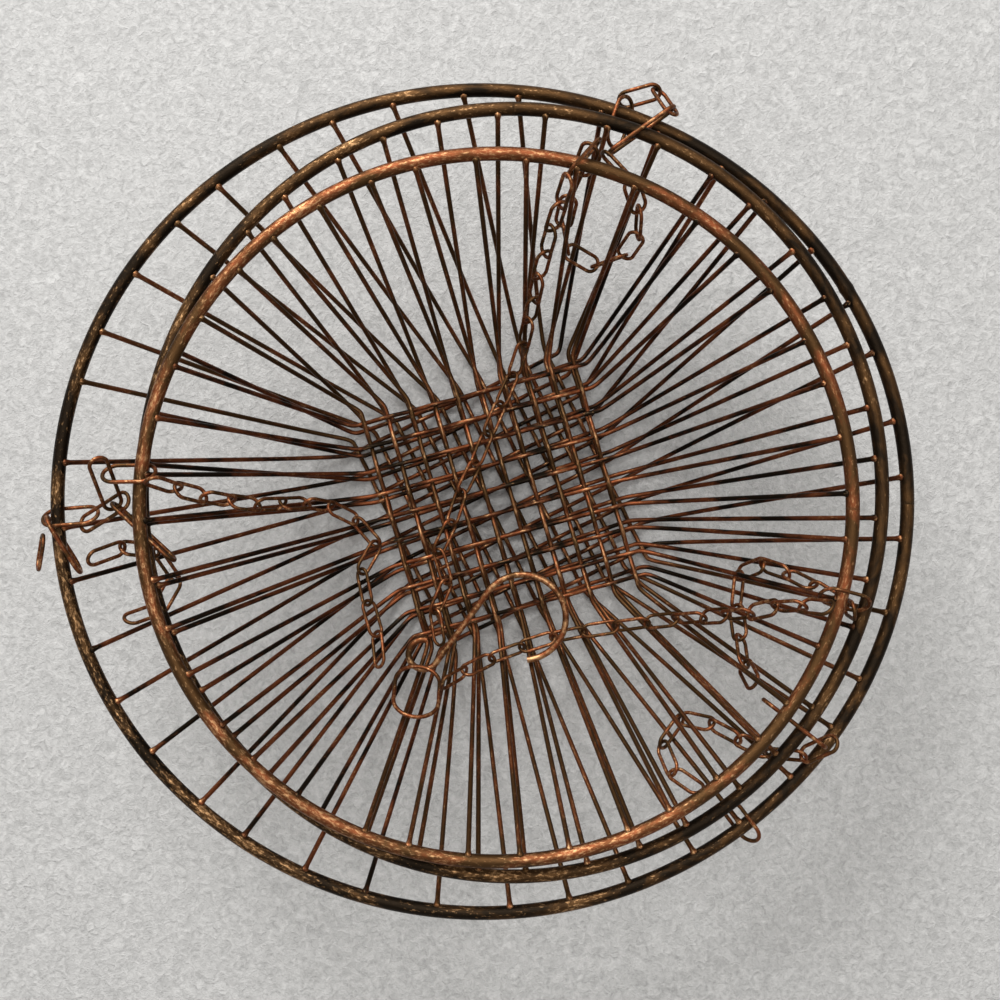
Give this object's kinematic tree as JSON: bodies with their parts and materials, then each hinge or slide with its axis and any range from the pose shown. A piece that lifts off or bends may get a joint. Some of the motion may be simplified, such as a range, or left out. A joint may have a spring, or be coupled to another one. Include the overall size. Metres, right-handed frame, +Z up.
{
  "type": "hanging fruit basket",
  "caption": "Nested round wire fruit baskets with woven square bases, oval rims, linking chains and an open hook, laid down flat",
  "frame": {"origin": "middle of the bounding box in plan, at the underside of the bottom weave", "axes": "+Z up, +X to the right and +Y to the back as the basket lies in the picture"},
  "size_m": [0.3267, 0.31, 0.1127],
  "materials": {
    "dark_rod": "dark bronze, worn through to copper in streaks",
    "copper_rod": "antique copper, worn gold in streaks",
    "basket_wire": "antique bronze, brighter on the raised wires",
    "chain_wire": "dull antique copper",
    "hook_wire": "antique copper, rubbed bright"
  },
  "bodies": {
    "bottom_basket": {"bottom_rim": "dark_rod", "bottom_lengthwise": "basket_wire", "bottom_crosswise": "basket_wire", "bottom_link_back": "chain_wire", "bottom_link_left": "chain_wire", "bottom_link_right": "chain_wire", "base_back_chain": "chain_wire", "base_left_chain": "chain_wire", "spare_left": "chain_wire"},
    "middle_basket": {"middle_rim": "dark_rod", "middle_lengthwise": "basket_wire", "middle_crosswise": "basket_wire", "middle_link_back": "chain_wire", "middle_link_left": "chain_wire", "middle_link_right": "chain_wire", "lower_back_chain": "chain_wire", "lower_left_chain": "chain_wire", "lower_right_chain": "chain_wire", "base_right_chain": "chain_wire"},
    "top_basket": {"top_rim": "copper_rod", "top_lengthwise": "basket_wire", "top_crosswise": "basket_wire", "upper_back_outer": "chain_wire", "upper_left_outer": "chain_wire", "upper_right_outer": "chain_wire", "top_link_back": "chain_wire", "top_link_left": "chain_wire", "top_link_right": "chain_wire"},
    "upper_back": {"upper_back_inner": "chain_wire", "gathering_ring": "chain_wire"},
    "upper_left": {"upper_left_inner": "chain_wire"},
    "upper_right": {"upper_right_inner": "chain_wire"},
    "hook": {"hook": "hook_wire"}
  },
  "joints": [
    {"name": "middle_lift", "type": "slide", "parent": "bottom_basket", "child": "middle_basket", "axis": [0, 0, 1], "range_m": [0, 0.003]},
    {"name": "top_lift", "type": "slide", "parent": "middle_basket", "child": "top_basket", "axis": [0, 0, 1], "range_m": [0, 0.003]},
    {"name": "upper_chains_lift", "type": "hinge", "parent": "top_basket", "child": "upper_back", "pos_m": [0.02565, 0.08833, 0.06019], "axis": [-0.9643, 0.265, 0], "range_deg": [0, 5.37]},
    {"name": "upper_left_lift", "type": "hinge", "parent": "top_basket", "child": "upper_left", "pos_m": [-0.08372, -0.00121, 0.0658], "axis": [-0.8271, -0.562, 0], "range_deg": [0, 10.42]},
    {"name": "upper_right_lift", "type": "hinge", "parent": "top_basket", "child": "upper_right", "pos_m": [0.09832, -0.04434, 0.06482], "axis": [-0.2595, 0.9657, 0], "range_deg": [0, 7.2]},
    {"name": "hook_swing", "type": "hinge", "parent": "upper_back", "child": "hook", "pos_m": [-0.0231, -0.0674, 0.0267], "axis": [0.809, -0.5878, 0], "range_deg": [0, 40]}
  ],
  "couplings": [
    {"joint": "upper_left_lift", "follows": "upper_chains_lift", "ratio": 1.9414},
    {"joint": "upper_right_lift", "follows": "upper_chains_lift", "ratio": 1.3407}
  ]
}
